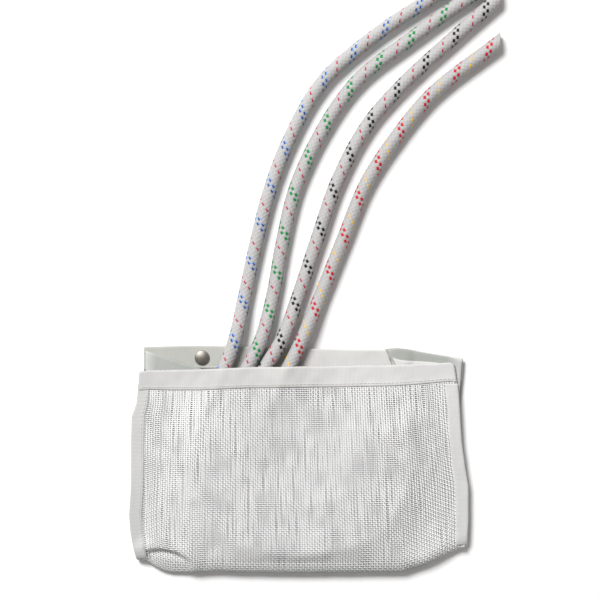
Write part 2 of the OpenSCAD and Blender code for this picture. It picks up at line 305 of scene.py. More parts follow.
# %% [markdown]
# ## The ropes' finish
# The cover of a yacht rope is a plait of sixteen bobbins, eight winding each way. One bobbin goes over
# the next and under the one after, so the surface is a chequer of short diamonds. A few bobbins that wind
# one way carry coloured yarn: a pair gives the broad flecks, and a single tracer runs half a turn behind.
# Flecks could be painted on, but then they would not follow the plait. Here two numbers, p and q, count the
# bobbins across each way, so the same chequer gives the relief and says where colour comes to the top.
# The skin's UV map holds the turn round the rope and the share of its length.
# %% Define the braid
BOBBINS, LAY = 8, 40.0


def braid_finish(name, long, fleck_at, fleck, edge, tracer, tracer_bobbin, pale_from):
    skin = Finish(name, Roughness=0.62, Specular_IOR_Level=0.3, Sheen_Weight=0.1, Sheen_Roughness=0.5)
    turn, share = skin.uv()
    lays = share * (long / LAY) - fleck_at / LAY
    p = (turn + lays - 0.5) * BOBBINS
    q = (turn - lays - 0.5) * BOBBINS
    i, j = p.floor(), q.floor()
    over = ((i + j) % 2) < 0.5
    in_p, in_q = p - i, q - j
    across = in_p * over + in_q * (1 - over)
    lengthwise = in_q * over + in_p * (1 - over)
    crown = 1 - abs(across * 2 - 1) * abs(across * 2 - 1)
    slope = 1 - abs(lengthwise * 2 - 1) * abs(lengthwise * 2 - 1) * 0.6
    yarns = (across * (5 * TURN)).sine() * 0.5 + 0.5
    bobbin = i % BOBBINS
    pair = (abs(bobbin - 3.5) > 3.2) * over
    single = (abs(bobbin - tracer_bobbin) < 0.4) * over * (abs(across - 0.5) < 0.21)
    inside = (abs(across - 0.5) < 0.37) * (abs(lengthwise - 0.5) < 0.47)
    pale = (across + skin.noise(1.6) * 0.5) > pale_from
    white = skin.blend(skin.noise(5.0, 3.0), (0.43, 0.423, 0.418), (0.545, 0.535, 0.53))
    # Painted shade: the white is blended towards grey where each bobbin dips at its edges, in the grooves
    # between bobbins.
    ground = skin.blend((1 - crown * slope) * 0.36, white, (0.30, 0.295, 0.29))
    coloured = skin.blend(pair * inside, ground, skin.blend(pale, fleck, edge))
    skin.set(Base_Color=skin.blend(single, coloured, tracer))
    skin.bump(crown * slope + yarns * 0.15, 0.4, 0.6)
    return skin.material


CRIMSON = (0.46, 0.015, 0.055)
braids = {
    "blue": ((0.014, 0.055, 0.26), (0.20, 0.38, 0.72), CRIMSON, 3, 0.80),
    "green": ((0.006, 0.24, 0.055), (0.03, 0.36, 0.12), CRIMSON, 4, 1.05),
    "black": ((0.005, 0.005, 0.006), (0.02, 0.02, 0.022), CRIMSON, 4, 1.1),
    "red": ((0.52, 0.006, 0.02), (0.60, 0.02, 0.04), (0.88, 0.50, 0.015), 3, 1.05),
}
fleck_height = {"blue": 197, "green": 187, "black": 193.7, "red": 187}
print("braids", list(braids))

# %% [markdown]
# ## The ropes
# Each rope is a tube whose skin rises and falls with the plait, about a third of a millimetre. The tube
# could be a curve with a round bevel, but a curve's skin can't carry the relief. A grid rolled round the
# route can: its columns go round the rope and its rows along it, four to a bobbin each way.
# The red rope's outer end is sheared off square to the bag, so its tube is cut with a plane.
# %% Roll the ropes' skins
def frames_along(line):
    """The direction of a line at each point, the level sideways direction, and the one square to both."""
    ahead = np.gradient(line, axis=0)
    ahead /= np.linalg.norm(ahead, axis=1)[:, None]
    side = np.cross(ahead, [0, 0, 1.0])
    side /= np.linalg.norm(side, axis=1)[:, None]
    return ahead, side, np.cross(side, ahead)


def rope_skin(name, line, along, fleck_at, sides=32):
    ahead, side, up = frames_along(line)

    def place(a, b):
        row = np.rint(b * (len(line) - 1)).astype(int)
        angle = (a - 0.5) * TURN
        lays = (along[row] - fleck_at) / LAY
        p, q = (a - 0.5 + lays) * BOBBINS, (a - 0.5 - lays) * BOBBINS
        over = (np.floor(p) + np.floor(q)) % 2 < 0.5
        across = np.where(over, p % 1, q % 1)
        lengthwise = np.where(over, q % 1, p % 1)
        relief = (1 - (2 * across - 1) ** 2) * (1 - 0.6 * (2 * lengthwise - 1) ** 2)
        radius = (ROPE / 2 - 0.22 + 0.32 * relief)[:, None]
        return line[row] + radius * (np.cos(angle)[:, None] * up[row] + np.sin(angle)[:, None] * side[row])

    finish = braid_finish("braid_" + name, along[-1], fleck_at, *braids[name])
    return laid("rope_" + name + "_skin", sides, len(line) - 1, place, finish, weld=True)


def shear_off(mesh, x):
    """Cuts a tube with a plane square to X and closes the cut."""
    bm = bmesh.new()
    bm.from_mesh(mesh)
    cut = bmesh.ops.bisect_plane(bm, geom=bm.verts[:] + bm.edges[:] + bm.faces[:], dist=1e-6,
                                 plane_co=(x * MM, 0, 0), plane_no=(1, 0, 0), clear_outer=True)
    bmesh.ops.holes_fill(bm, edges=[e for e in cut["geom_cut"] if isinstance(e, bmesh.types.BMEdge)], sides=0)
    bm.to_mesh(mesh)
    bm.free()


SHEARED = {"black": 200.5, "red": 200.0}
ropes = {}
for name, (line, along) in lines.items():
    outside = (line[:, 1] > 120)
    fleck_at = along[outside][np.argmin(abs(line[outside, 1] - fleck_height[name]))]
    if name in SHEARED:
        more = line[-1] + (line[-1] - line[-2]) * np.arange(1, 9)[:, None]
        longer = np.concatenate([line, more]), np.concatenate([along, along[-1] + 1.25 * np.arange(1, 9)])
        ropes[name] = rope_skin(name, *longer, fleck_at)
        shear_off(ropes[name].data, SHEARED[name])
    else:
        ropes[name] = rope_skin(name, line, along, fleck_at)
    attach(ropes[name], "bag")
    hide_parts("rope_" + name)
    "braid_" + name
    print("rope", name, len(ropes[name].data.polygons), "faces, flecks from", round(fleck_at), "mm")

# %% [markdown]
# ## A helper for coated cloth and twine
# Most soft surfaces here are two close tones in soft clouds under a fine grain. The clouds are a wide
# noise and the grain is a fine one, which also roughens the surface, so one function makes them all.
# %% Define the coated finish
def coated(name, first, second, clouds=18.0, rough=0.5, grain=0.9, depth=0.12):
    """A coated cloth: two tones in soft clouds under a fine woven grain."""
    cloth = Finish(name, Roughness=rough, Specular_IOR_Level=0.35)
    tone = cloth.noise(clouds, 3.0)
    fine = cloth.noise(grain, 2.0)
    cloth.set(Base_Color=cloth.blend(tone * 0.75 + fine * 0.35 - 0.05, first, second))
    cloth.bump(fine + cloth.noise(grain * 3.5, 1.0) * 0.6, depth)
    return cloth.material


# %% [markdown]
# ## Whippings and melted ends
# An end of braided rope is melted, and bound with waxed twine so that it can't unravel. The twine is a
# helix of one curve wound round the rope. The melted end is a low dome with a rough, glassy skin.
# %% Bind and seal the ropes' ends
twine_finish = coated("whipping_twine", (0.52, 0.49, 0.42), (0.70, 0.67, 0.58), 2.0, 0.6, 0.4, 0.08)
melt_finish = coated("melted_end", (0.46, 0.43, 0.38), (0.66, 0.62, 0.56), 3.0, 0.32, 1.2, 0.3)
on_rope = {name: [] for name in lines}

for name, (line, along) in lines.items():
    ahead, side, up = frames_along(line)
    turns, per_turn = 17, 14
    t = np.arange(turns * per_turn + 1) / (turns * per_turn)
    at = 4.0 + 18.0 * t
    middle = np.stack([np.interp(at, along, line[:, k]) for k in range(3)], axis=-1)
    k = np.rint(at / 1.25).astype(int)
    angle = (t * turns * TURN)[:, None]
    wind = middle + 7.25 * (np.cos(angle) * up[k] + np.sin(angle) * side[k])
    data = bpy.data.curves.new("whipping_" + name + "_twine", "CURVE")
    data.dimensions, data.bevel_depth, data.bevel_resolution = "3D", 0.55 * MM, 1
    data.use_fill_caps = True
    spline = data.splines.new("POLY")
    spline.points.add(len(wind) - 1)
    for point, place in zip(spline.points, wind):
        point.co = (*(place * MM), 1)
    twine = bpy.data.objects.new(data.name, data)
    bpy.context.scene.collection.objects.link(twine)
    data.materials.append(twine_finish)
    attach(twine, "bag")
    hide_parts("whipping_" + name)
    on_rope[name].append(twine)
    for word, end in (("inner", 0), ("outer", -1)):
        bm = bmesh.new()
        bmesh.ops.create_uvsphere(bm, u_segments=28, v_segments=14, radius=6.75 * MM)
        bmesh.ops.scale(bm, vec=(1, 1, 0.17), verts=bm.verts)
        out = Vector(ahead[end]) * (-1 if end == 0 else 1)
        place = Vector(line[end] * MM)
        if end and name in SHEARED:
            bmesh.ops.scale(bm, vec=(1 / out.x, 1, 1), verts=bm.verts)
            place.x, out = SHEARED[name] * MM, Vector((1, 0, 0))
        turn = out.to_track_quat("Z", "Y").to_matrix().to_4x4()
        bmesh.ops.transform(bm, matrix=Matrix.Translation(place) @ turn, verts=bm.verts)
        mesh = bpy.data.meshes.new(word + "_end_" + name + "_melt")
        bm.to_mesh(mesh)
        bm.free()
        melt = as_object(mesh.name, mesh, melt_finish)
        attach(melt, "bag")
        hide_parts(word + "_end_" + name)
        on_rope[name].append(melt)
print("ends bound and sealed")

for name, (line, along) in lines.items():
    along[-1] * MM
print("cords declared, each with", len(on_rope["blue"]), "pieces on it")

# %% [markdown]
# ## The shape of the front
# The front is one piece of mesh cloth. Its four edges wander a little, as sewn cloth does, so the outline
# is four short lists of points. Height over the surface comes from the ropes inside: the cloth is a
# membrane that is held along its sides and bottom and hangs free at the mouth. Cloth simulation could
# drape it. A grid of heights that is averaged again and again, and never allowed below the ropes, gives
# the same taut tent in a second and the same result every time.
# %% Relax the front over the ropes
LEFT = np.array([[-103, -162], [-100, -163], [-83, -167], [-72, -169], [-55, -170.5], [-26, -168.5],
                 [20, -168.5], [44, -168], [55, -163.5], [66, -162], [88, -161.5]])
RIGHT = np.array([[-87, 167.5], [-78, 167], [-60, 168], [-26, 168], [-9, 165], [20, 161], [65, 158.5],
                  [80, 157], [93, 155], [97, 154]])
TOP = np.array([[-161.5, 88], [-150, 89.5], [-100, 90.5], [-70, 92], [-50, 93], [5, 93.5], [50, 94],
                [100, 95], [149, 97], [153, 96], [155.5, 93], [157, 88]])
BOTTOM = np.array([[-163, -100], [-154, -100.5], [-146, -106], [-137, -110.5], [-128, -112.5],
                   [-100, -112], [-82, -111], [-60, -112], [0, -112.5], [103, -111.7], [126, -104],
                   [149, -93], [164, -87], [168, -85]])
EDGE_Z, FOLD = 9.0, 11.0
STEP = 2.0
grid_x = np.arange(-174, 175, STEP)
grid_y = np.arange(-116, 101, STEP)
gx, gy = np.meshgrid(grid_x, grid_y)


def left_at(y):
    return np.interp(y, *LEFT.T)


def right_at(y):
    return np.interp(y, *RIGHT.T)


def across(u, y):
    """x at the share u of the width. An edge's own wander fades out within 25 mm of it."""
    left, right = np.interp(y, [-100, 90], [-169, -162.5]), np.interp(y, [-90, 95], [168.5, 154.5])
    return (left * (1 - u) + right * u + (left_at(y) - left) * np.exp(-u / 0.07)
            + (right_at(y) - right) * np.exp((u - 1) / 0.07))


def waves(x, y, size, seed):
    """Gentle seeded ripples between -1 and 1, with humps of about that size in millimetres."""
    rng = np.random.default_rng(seed)
    total = 0
    for _ in range(7):
        angle, phase = rng.uniform(0, TURN, 2)
        k = TURN / size * rng.uniform(0.6, 1.5)
        total = total + np.sin(k * (x * np.cos(angle) + y * np.sin(angle)) + phase)
    return total / 4


REACH = (ROPE / 2) ** 2
lowest = np.full(gx.shape, 7.5)
for line, along in lines.values():
    for centre in line[::2]:
        near = (gx - centre[0]) ** 2 + (gy - centre[1]) ** 2
        over_rope = centre[2] + np.sqrt(np.clip(REACH - near, 0, None)) + 1.4
        lowest = np.maximum(lowest, np.where(near < REACH, over_rope, 0))
at_fold = gy < np.interp(gx, *BOTTOM.T) + FOLD
held = (gx < left_at(gy)) | (gx > right_at(gy)) | at_fold
side_z = np.where(at_fold, 13.5, EDGE_Z)
fade = np.clip(np.minimum(gx - left_at(gy), right_at(gy) - gx) / 30, 0, 1)
side_z = EDGE_Z + (side_z - EDGE_Z) * fade
height = np.where(held, side_z, np.maximum(lowest, 16.0))
for _ in range(1500):
    around = np.pad(height, 1, mode="edge")
    mean = (around[1:-1, :-2] + around[1:-1, 2:] + around[:-2, 1:-1] + around[2:, 1:-1]) / 4
    height = np.where(held, side_z, np.maximum(lowest, mean - 0.004))
for _ in range(6):
    around = np.pad(height, 1, mode="edge")
    height = (around[1:-1, :-2] + around[1:-1, 2:] + around[:-2, 1:-1] + around[2:, 1:-1] + 4 * height) / 8
height = height + 0.35 * waves(gx, gy, 46, 3) * fade + 0.2 * waves(gx, gy, 21, 4) * fade
print("front rises to", round(float(height[~held].max()), 1), "mm")

# %% [markdown]
# ## Where a point of the front is
# Every yarn, binding and stitch of the front asks the same question: how high is the cloth here? The
# heights are read from the grid. Towards the left the bottom corner has collapsed: a crease runs round it
# and the cloth below the crease is a low lobe. That could be modelled by hand in the grid, but it is sharper
# than the grid's step, so it is added to what the grid says.
# %% Define the cloth's height
CREASE = np.array([[-170, -100], [-157, -92.5], [-148, -90], [-140, -89], [-131, -90], [-123, -92.5],
                   [-113, -98], [-105, -104], [-98, -112]])


def cloth_height(x, y):
    """Height of the cloth at x, y, bilinear in the grid, with the collapsed corner."""
    fx = np.clip((x - grid_x[0]) / STEP, 0, len(grid_x) - 1.001)
    fy = np.clip((y - grid_y[0]) / STEP, 0, len(grid_y) - 1.001)
    cx, cy = fx.astype(int), fy.astype(int)
    wx, wy = fx - cx, fy - cy
    z = ((height[cy, cx] * (1 - wx) + height[cy, cx + 1] * wx) * (1 - wy)
         + (height[cy + 1, cx] * (1 - wx) + height[cy + 1, cx + 1] * wx) * wy)
    crease = np.interp(x, *CREASE.T, left=-130, right=-130)
    brow = np.exp(-((crease + 6 - y) / 7) ** 2) * np.clip((-98 - x) / 16, 0, 1) * np.clip((x + 172) / 12, 0, 1)
    into = np.clip((crease + 2.5 - y) / 5.5, 0, 1)
    into = into * into * (3 - 2 * into)
    into = into * np.clip((-102 - x) / 20, 0, 1)
    lobe = 6.4 + 2.4 * np.sin(np.clip((crease - y) / 18, 0, 1) * math.pi)
    return (z + 2.2 * brow) * (1 - into) + lobe * into


print("the cloth is", round(float(cloth_height(0.0, 0.0)), 1), "mm high in the middle")

# %% [markdown]
# ## From the flat cloth to the bag
# A yarn or a tape is easiest to place on flat cloth: u across it and s down it, both from 0 to 1. At the
# bottom the cloth turns over in a rounded fold and runs under the bag into the rolled seam. front_point
# carries a place on the flat cloth there, and share_at goes the other way for a known y.
# %% Define the front's surface
def bottom_at(u):
    """x and y of the bottom edge in the column u, from 0 at the left to 1 at the right."""
    y = np.full(np.shape(u), -110.0)
    for _ in range(12):
        y = 0.5 * y + 0.5 * np.interp(across(u, y), *BOTTOM.T)
    return y


def top_at(u):
    y = np.full(np.shape(u), 92.0)
    for _ in range(8):
        y = np.interp(across(u, y), *TOP.T)
    return y


TURN_IN = math.radians(132)


def front_point(u, s, lift=0.0):
    """Where the cloth is, s of the way down the column u, raised by lift along its own outward side."""
    top, bottom = top_at(u), bottom_at(u)
    bend = bottom + FOLD
    flat = top - bend
    z_bend = cloth_height(across(u, bend), bend)
    c = (z_bend - 0.8) / 2
    round_it = TURN_IN * np.sqrt((FOLD**2 + c**2) / 2)
    gone = s * (flat + round_it)
    angle = np.clip((gone - flat) / round_it, 0, 1) * TURN_IN
    y = np.where(gone < flat, top - gone, bend - (FOLD + lift) * np.sin(angle))
    x = across(u, np.maximum(y, bottom))
    z = np.where(gone < flat, cloth_height(x, y) + lift, 0.8 + c + (c + lift) * np.cos(angle))
    return np.stack([x, y, z], axis=-1)


def share_at(u, y):
    """The share s of the column u where the cloth passes height y on its upper side."""
    top, bottom = top_at(u), bottom_at(u)
    bend = bottom + FOLD
    c = (cloth_height(across(u, bend), bend) - 0.8) / 2
    round_it = TURN_IN * np.sqrt((FOLD**2 + c**2) / 2)
    angle = np.arcsin(np.clip((bend - y) / FOLD, 0, 1))
    gone = np.where(y > bend, top - y, top - bend + round_it * angle / TURN_IN)
    return gone / (top - bend + round_it)


print("middle of the front:", np.round(front_point(np.array([0.5]), np.array([0.5]))[0], 1))

# %% [markdown]
# ## The finish of the mesh yarns
# The mesh is woven from polyester yarn with a thin skin of white PVC, so each yarn is smooth and slightly
# glossy. Its tone drifts a little over the cloth, and it has painted shade: it is greyer at the bottom, where
# the cloth turns under. That shade could be painted in an image. A mask made from each point's own place,
# scaled and held between 0 and 1, needs no image and no unwrapping.
# %% Make the yarn and cloth finishes
def yarn_coating():
    """White PVC on the mesh yarns, in soft clouds, with painted shade that makes it greyer where the cloth
    turns under at the bottom.
    """
    yarn = Finish("mesh_yarn", Roughness=0.42, Specular_IOR_Level=0.35)
    # Painted shade: below y = -95 mm, where the cloth turns under, the yarn is blended towards grey.
    under = ((yarn.part(yarn.place(), 1) * -1000 - 95) * 0.09).at_least(0.0).at_most(1.0)
    white = yarn.blend(yarn.noise(26.0, 3.0), (0.69, 0.695, 0.69), (0.88, 0.88, 0.875))
    yarn.set(Base_Color=yarn.blend(under * 0.8, white, (0.58, 0.59, 0.585)))
    yarn.bump(yarn.noise(0.7), 0.05)
    return yarn.material


yarn_finish = yarn_coating()
fabric_finish = coated("coated_cloth", (0.33, 0.35, 0.325), (0.45, 0.47, 0.44), 14.0, 0.5, 0.8, 0.18)
seam_finish = coated("seam_cloth", (0.40, 0.415, 0.39), (0.50, 0.51, 0.49), 12.0, 0.5, 0.8, 0.15)
print("yarn and cloth finishes made")

# %% [markdown]
# ## The finish of the tapes
# Hems and bindings are woven tape with fine ribs across its length, and a colour ramp sets its tone along it.
# Object coordinates would make straight ribs that cut across a bend. The ribs are counted along the UV map
# instead, so they turn with the tape, and the colour ramp runs along the same map. The front hem is darker
# towards its left end. On the back's hem the ramp holds painted shade, and on the gussets painted shade and
# painted light. The left band's tape is painted darker than the right's, as painted shade.
# %% Make the tape and thread finishes
def ribbed(name, stops, ribs):
    """A woven tape: fine ribs across its length, counted along the UV map, and a colour ramp along it, which
    on some tapes holds painted shade.
    """
    tape = Finish(name, Roughness=0.48, Specular_IOR_Level=0.35)
    along, across = tape.uv()
    rib = ((along * (ribs * TURN)).sine() + 1) * 0.5
    cloud = tape.noise(16.0, 3.0)
    tone = tape.node("ShaderNodeValToRGB", {"stops": stops}, {0: along})
    shade = tape.node("ShaderNodeVectorMath", {"operation": "SCALE"},
                      {0: tone, 3: cloud * 0.16 + rib * 0.06 + 0.89})
    tape.set(Base_Color=shade)
    tape.bump(rib + tape.noise(0.8) * 0.4, 0.16, 0.7)
    return tape.material


hem_finish = ribbed("hem_tape", [(0.0, (0.53, 0.525, 0.515)), (0.25, (0.56, 0.55, 0.54)),
                                 (0.45, (0.64, 0.63, 0.615)), (1.0, (0.655, 0.645, 0.635))], 245)
# Painted shade: the left band is the same tape as the right, painted darker as a shaded copy.
shaded_left_band_finish = ribbed("left_band_tape_painted_shade", [(0.0, (0.50, 0.505, 0.50)), (1.0, (0.545, 0.54, 0.53))], 130)
right_band_finish = ribbed("right_band_tape", [(0.0, (0.63, 0.635, 0.63)), (1.0, (0.66, 0.655, 0.645))], 130)
# Painted shade: the back's hem is painted darker on its left half, where it lies in shade.
back_hem_painted_shade_finish = ribbed("back_hem_cloth_painted_shade", [(0.0, (0.46, 0.465, 0.43)), (0.45, (0.48, 0.48, 0.45)),
                                            (0.52, (0.63, 0.62, 0.605)), (1.0, (0.64, 0.63, 0.615))], 250)
# Painted light and shade: the strip next to the back's edge is painted lighter against the front's shadow on
# it, and the lower leaf is painted dark grey-green as the shade under the upper leaf. The upper leaf has the
# cloth's own tone.
gusset_painted_shade_finish = ribbed("gusset_cloth_painted_light_and_shade", [(0.0, (0.58, 0.59, 0.57)), (0.10, (0.395, 0.41, 0.385)),
                                       (0.50, (0.375, 0.39, 0.36)), (0.56, (0.66, 0.65, 0.635)),
                                       (1.0, (0.66, 0.65, 0.635))], 60)
thread_finish = coated("sewing_thread", (0.62, 0.62, 0.60), (0.76, 0.76, 0.74), 3.0, 0.55, 0.3, 0.05)
print("tape and thread finishes made")

# %% [markdown]
# ## The woven mesh
# This is what one sees of the bag: about 130 yarns down and 105 across, over one and under the next.
# A flat sheet with a pattern of holes would be lighter, but it has no over and under, and light does not
# catch on the yarns. So every yarn is a thin four-sided tube. One grid per yarn is rolled up, with one
# row of points at each crossing.
# %% Define how yarns are rolled
WARPS, WEFTS = 132, 104
YARN, CRIMP = 0.5, 0.22      # a yarn's thickness, and how far it rises and falls


def yarns(name, count, points, route, width):
    """Many yarns in one mesh. route(yarn, share) gives each one's middle line, in millimetres, and width
    is one number or one for each yarn and crossing."""
    bm = bmesh.new()
    bm.loops.layers.uv.new("UVMap")
    for _ in range(count):
        bmesh.ops.create_grid(bm, x_segments=4, y_segments=points - 1, size=1.0, calc_uvs=True)
    mesh = bpy.data.meshes.new(name)
    bm.to_mesh(mesh)
    bm.free()
    flat = np.empty(len(mesh.vertices) * 3)
    mesh.vertices.foreach_get("co", flat)
    flat = flat.reshape(count, -1, 3)
    corner = np.rint((flat[..., 0] + 1) * 2).astype(int) % 4
    row = np.rint((flat[..., 1] + 1) / 2 * (points - 1)).astype(int)
    yarn = np.repeat(np.arange(count)[:, None], points, axis=1)
    middle = route(yarn, np.repeat(np.arange(points)[None] / (points - 1), count, axis=0))
    ahead = np.gradient(middle, axis=1)
    side = np.cross(ahead, [0, 0, 1.0])
    side /= np.maximum(np.linalg.norm(side, axis=2), 1e-6)[..., None]
    up = np.cross(side, ahead)
    up /= np.linalg.norm(up, axis=2)[..., None]
    reach = np.array([[0.5, 0], [0, 0.5], [-0.5, 0], [0, -0.5]])[corner]
    pick = np.arange(count)[:, None]
    wide = np.broadcast_to(width, (count, points))[pick, row][..., None]
    where = middle[pick, row] + side[pick, row] * reach[..., :1] * wide + up[pick, row] * reach[..., 1:] * YARN
    mesh.vertices.foreach_set("co", (where * MM).ravel())
    close(mesh)
    return as_object(name, mesh, yarn_finish)


# %% [markdown]
# ## Slipped and thinned yarns
# In real mesh the yarns down the cloth lie flat and nearly close it, but here and there they have slipped
# apart or been pulled thin, which opens dark slots. A noise texture could hide yarns, but would cut them
# off. Seeded random patches instead move some yarns sideways and narrow others, and every yarn stays whole.
# %% Shift and thin the yarns
def slip(yarn, s):
    """How far the yarns down the cloth have slipped sideways, in shares of the width."""
    rng = np.random.default_rng(11)
    stray = np.zeros(np.shape(s))
    phase, rate = rng.uniform(0, TURN, WARPS), rng.uniform(14, 40, WARPS)
    stray = stray + 0.16 * np.sin(rate[yarn] * s + phase[yarn])
    for _ in range(330):
        between, middle = rng.integers(1, WARPS), rng.uniform(0.02, 0.9)
        long, wide = rng.uniform(0.025, 0.10), rng.uniform(0.2, 0.6)
        near = np.exp(0.4 - abs(yarn - between + 0.5) / 1.2) * np.exp(-((s - middle) / long) ** 2)
        stray = stray + wide * np.where(yarn >= between, 1, -1) * near
    return np.clip(stray, -1.0, 1.0) / 325


def warp_width():
    """Yarns lie flat and close the cloth in most places, and are pulled thin in upright patches."""
    rng = np.random.default_rng(5)
    yarn, s = np.meshgrid(np.arange(WARPS), np.linspace(0, 1, WEFTS), indexing="ij")
    thin = np.zeros(yarn.shape)
    for _ in range(135):
        middle, at = rng.uniform(2, WARPS - 2), rng.uniform(0.03, 0.88)
        broad, long = rng.uniform(0.8, 2.8), rng.uniform(0.02, 0.06)
        thin += np.exp(-((yarn - middle) / broad) ** 2 - ((s - at) / long) ** 2)
    return 2.36 - 1.40 * np.clip(thin, 0, 1.0) + 0.10 * rng.standard_normal(yarn.shape)


print("yarns down the cloth are", np.round([warp_width().min(), warp_width().max()], 1), "mm wide")

# %% [markdown]
# ## Over one and under the next
# Plain weave is a chequer: where a yarn down the cloth is high, the yarn across it is low. Each route lies
# on the front's surface and is raised or lowered at every crossing by which square of the chequer it is.
# %% Weave the front
def warp_route(yarn, share):
    u = 0.004 + 0.992 * yarn / (WARPS - 1)
    crossing = np.rint(share * (WEFTS - 1)).astype(int)
    weave = np.where((crossing + yarn) % 2 == 0, 1.0, -1.0)
    return front_point(np.clip(u + slip(yarn, share), 0.001, 0.999), share, CRIMP * weave)


def weft_route(yarn, share):
    s = 0.004 + 0.992 * yarn / (WEFTS - 1)
    crossing = np.rint(share * (WARPS - 1)).astype(int)
    weave = np.where((crossing + yarn) % 2 == 0, -1.0, 1.0)
    return front_point(0.004 + 0.992 * share, s, CRIMP * weave)


warps = yarns("front_mesh_warp", WARPS, WEFTS, warp_route, warp_width())
wefts = yarns("front_mesh_weft", WEFTS, WARPS, weft_route, 1.45)
for piece in (warps, wefts):
    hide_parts("front_panel")
    print(piece.name, len(piece.data.polygons), "faces")

# %% [markdown]
# ## The hem at the mouth
# The mesh frays where it is cut, so its top is closed in a folded tape 20 mm deep. It lies on the outside,
# turns over the edge and lies on the inside. A thickened strip would show a cut edge at the mouth. This is a
# grid that runs along the edge in one direction and over it in the other, so the fold is there.
# %% Fold the hem
DOWN = 215      # from the mouth down the front to the seam, in millimetres
TAPE = 0.35     # the tape's thickness


def hem_place(a, b):
    """From the hem's lower line up the outside, over the mouth's edge and down the inside."""
    u = 0.003 + 0.994 * a
    outside = np.clip(b / 0.5, 0, 1)
    over = np.clip((b - 0.5) / 0.08, 0, 1)
    inside = np.clip((b - 0.58) / 0.42, 0, 1)
    s_top, deep = 0.6 / DOWN, 20.5 / DOWN
    s = np.where(b <= 0.5, deep - (deep - s_top) * outside, s_top + (deep * 0.95 - s_top) * inside)
    p = front_point(u, s)
    p[..., 2] += np.cos(over * math.pi) * 0.70
    lip = (b > 0.45) * (b < 0.63)
    p[..., 1] += np.sin(over * math.pi) * 0.95 + 0.25 * waves(p[..., 0], 0 * u, 31, 8) * lip
    return p


hem = laid("front_hem", 300, 26, hem_place, hem_finish, thickness=TAPE)
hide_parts("front_top_hem")
print("hem:", len(hem.data.polygons), "faces")

# %% [markdown]
# ## The side bindings
# A narrower tape binds each side. It is folded like the hem, but its edge wanders with the cloth, so its
# points are asked for by their height y up the bag. One function serves both sides.
# %% Fold the side bindings
def band_place(side, y_low):
    """From the band's inner line over a side edge, on the left (-1) or the right (1), and under it."""
    def place(a, b):
        y = y_low + (76.0 - y_low) * a
        edge = np.where(side < 0, left_at(y), right_at(y))
        on_top = np.clip(b / 0.5, 0, 1)
        over = np.clip((b - 0.5) / 0.12, 0, 1)
        under = np.clip((b - 0.62) / 0.38, 0, 1)
        inward = np.where(b <= 0.5, 11.0 * (1 - on_top), 7.0 * under) + 0.4
        width = right_at(y) - left_at(y)
        u = np.where(side < 0, inward / width, 1 - inward / width)
        p = front_point(u, share_at(u, y))
        p[..., 2] += np.cos(over * math.pi) * 0.64
        p[..., 0] += side * np.sin(over * math.pi) * 0.9
        return p
    return place


bands = {}
for word, side, y_low, tape in (("left", -1, -99.0, shaded_left_band_finish), ("right", 1, -85.0, right_band_finish)):
    bands[word] = laid("side_band_" + word + "_tape", 130, 18, band_place(side, y_low), tape, thickness=TAPE)
    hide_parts("side_band_" + word)
print("bands:", [len(band.data.polygons) for band in bands.values()], "faces")

# %% [markdown]
# ## The back
# The back is one layer of coated cloth with a hem along its top, where the snaps go through. Lying loose,
# it is pulled a little askew, so its top edge falls away to the right. It is a grid laid between four
# edges, with a wall added by Solidify and slight ripples so that light does not fall on it evenly.
# %% Lay the back panel
BACK_TOP = np.array([[-157, 112], [-104, 113.4], [-77, 112.8], [5, 110.4], [50, 109.2], [75, 109.2],
                     [98, 110.6], [108, 109.2], [120, 106.5], [140, 103.2], [150, 101.6], [163.5, 99.3]])
BACK_RIGHT = np.array([[-110, 160], [-20, 159.5], [40, 160], [65, 161], [80, 162], [99, 163.5]])


def back_ends(a, b, low, high):
    """A point of the back between two heights, given as functions of x."""
    x = -156.5 + 313 * a
    y = low(x) + (high(x) - low(x)) * b
    right = np.interp(y, *BACK_RIGHT.T)
    left = np.interp(y, [-110, 80, 112], [-158.5, -156.5, -156.2])
    return left + (right - left) * a, y


def back_top(x):
    return np.interp(x, *BACK_TOP.T)


def from_snaps(x, y):
    """How far a point is from the nearer snap's middle."""
    return np.minimum(np.hypot(x - 98, y - 102), np.hypot(x + 98, y - 102))


def back_place(a, b):
    x, y = back_ends(a, b, lambda x: np.interp(x, *BOTTOM.T) + 2.0, back_top)
    z = 5.2 + 0.25 * waves(x, y, 38, 21)
    return np.stack([x, y, np.where(from_snaps(x, y) < 14, 5.2, np.minimum(z, 5.3))], axis=-1)


back = laid("back_cloth", 120, 80, back_place, fabric_finish, thickness=0.9)
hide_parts("back_panel")
print("back:", len(back.data.polygons), "faces")

# %% [markdown]
# ## The back's hem
# The top of the back is folded over, so that the snaps grip two layers. A thicker panel would have the
# step but no fold. The hem is a grid of its own, and is kept flat round the snaps, which clamp it.
# %% Fold the back's hem
def back_hem_place(a, b):
    """Up the inside from the hem's lower line, over the back's top edge and a little way behind it."""
    x, y = back_ends(a, np.clip(b / 0.8, 0, 1), lambda x: back_top(x) - 22, lambda x: back_top(x) + 0.2)
    over = np.clip((b - 0.8) / 0.12, 0, 1)
    behind = np.clip((b - 0.92) / 0.08, 0, 1)
    y = y + np.sin(over * math.pi) * 0.8 - behind * 1.6
    z = 6.1 - (1 - np.cos(over * math.pi)) / 2 * 2.0
    z = z + 0.12 * waves(x, y, 26, 5) * (b < 0.75)
    return np.stack([x, y, np.where((from_snaps(x, y) < 14) & (b < 0.8), 6.15, z)], axis=-1)


back_hem = laid("back_hem_cloth_painted_shade", 160, 24, back_hem_place, back_hem_painted_shade_finish, thickness=0.7)
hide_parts("back_top_hem")
print("back hem:", len(back_hem.data.polygons), "faces")

